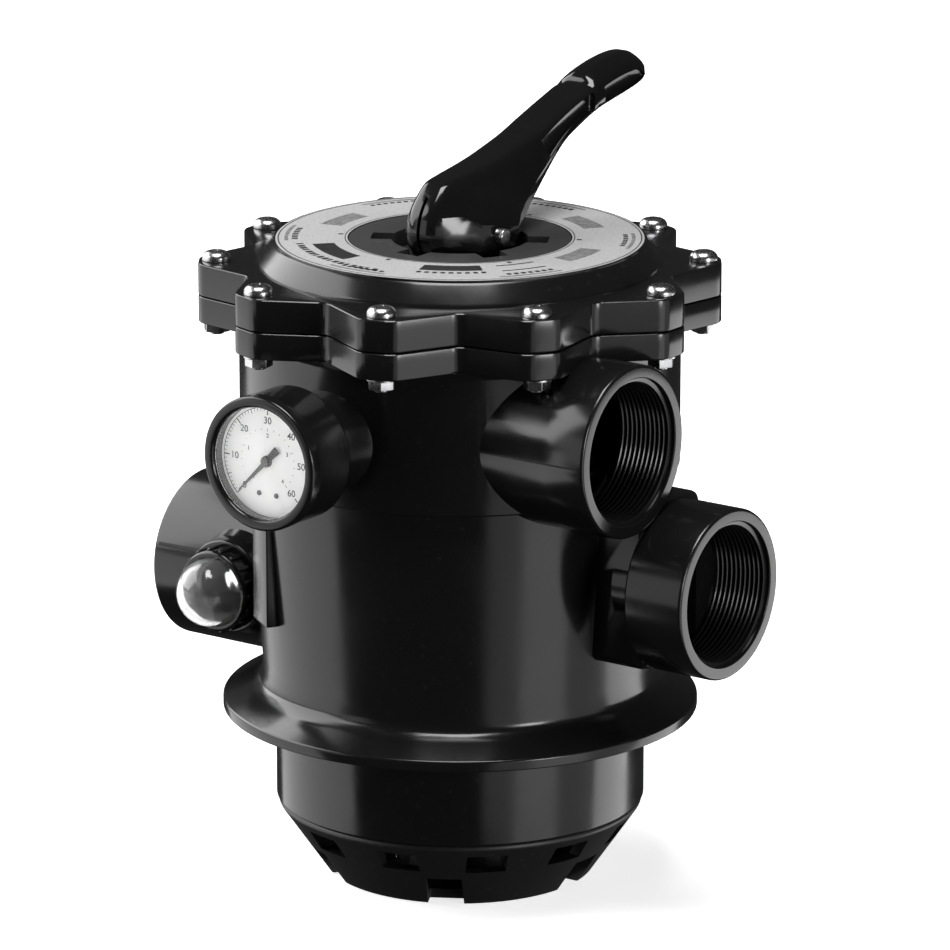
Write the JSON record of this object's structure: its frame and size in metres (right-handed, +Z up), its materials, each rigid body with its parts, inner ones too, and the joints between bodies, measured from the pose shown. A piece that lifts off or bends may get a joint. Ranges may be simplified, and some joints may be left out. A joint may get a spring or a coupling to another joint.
{
  "type": "multiport valve",
  "caption": "Top-mount filter valve with a press-and-turn lever, lobed bolted cover, threaded side ports, pressure gauge, sight glass, clamp flange and slotted strainer cone.",
  "frame": {"origin": "the valve axis at the underside of the clamp flange, where the valve seats on a tank's neck", "axes": "+Z up along the valve axis towards the lever, +X the way the return and pump ports face, +Y the way the lever points at rest"},
  "size_m": [0.2695, 0.2596, 0.33],
  "materials": {
    "gloss_black": "glossy moulded black",
    "satin_black": "satin moulded black",
    "disc_grey": "matt moulded dark grey",
    "label_print": "grey printed label with black marks",
    "stainless": "bright stainless",
    "brass_fitting": "machined",
    "seal_rubber": "matt black rubber",
    "dial_white": "white dial with black scale",
    "needle_black": "satin black",
    "clear_dome": "clear moulded plastic",
    "clear_lens": "clear",
    "inner_plastic": "glass-filled plastic, dark grey"
  },
  "bodies": {
    "valve_body": {"cover": "gloss_black", "position_plate": "label_print", "index_disc": "disc_grey", "upper_body": "gloss_black", "lower_body": "gloss_black", "port_divider": "inner_plastic", "strainer_cone": "satin_black", "spider_gasket": "seal_rubber", "cover_o_ring": "seal_rubber", "tank_o_ring": "seal_rubber", "gauge_case": "gloss_black", "gauge_lens": "clear_lens", "gauge_dial": "dial_white", "gauge_stem": "brass_fitting", "sight_glass": "clear_dome", "sight_glass_nut": "gloss_black", "sight_glass_o_ring": "seal_rubber", "cover_screw_01": "stainless", "cover_screw_02": "stainless", "cover_screw_03": "stainless", "cover_screw_04": "stainless", "cover_screw_05": "stainless", "cover_screw_06": "stainless", "cover_screw_07": "stainless", "cover_screw_08": "stainless", "cover_screw_09": "stainless", "cover_screw_10": "stainless", "cover_nut_01": "stainless", "cover_nut_02": "stainless", "cover_nut_03": "stainless", "cover_nut_04": "stainless", "cover_nut_05": "stainless", "cover_nut_06": "stainless", "cover_nut_07": "stainless", "cover_nut_08": "stainless", "cover_nut_09": "stainless", "cover_nut_10": "stainless"},
    "turntable": {"thrust_washer": "inner_plastic", "spring": "stainless"},
    "stem_body": {"stem": "inner_plastic", "rotor": "inner_plastic", "handle_pin": "stainless", "spring_washer": "stainless", "stem_o_ring_1": "seal_rubber", "stem_o_ring_2": "seal_rubber"},
    "lever": {"handle": "gloss_black"},
    "needle": {"gauge_needle": "needle_black"}
  },
  "joints": [
    {"name": "lever_turn", "type": "hinge", "parent": "valve_body", "child": "turntable", "pos_m": [0, 0, 0.1903], "axis": [0, 0, 1], "continuous": true},
    {"name": "rotor_lift", "type": "slide", "parent": "turntable", "child": "stem_body", "axis": [0, 0, 1], "range_m": [0, 0.0074], "stiffness_N_per_m": 1500, "springref_m": -0.01, "deforming": ["spring"]},
    {"name": "lever_tilt", "type": "hinge", "parent": "stem_body", "child": "lever", "pos_m": [0, 0, 0.202], "axis": [-1, 0, 0], "range_deg": [0, 15]},
    {"name": "needle_turn", "type": "hinge", "parent": "valve_body", "child": "needle", "pos_m": [0, -0.1304, 0.132], "axis": [0, 1, 0], "range_deg": [0, 270]}
  ],
  "couplings": [
    {"joint": "rotor_lift", "follows": "lever_tilt", "m_per_rad": 0.028}
  ]
}
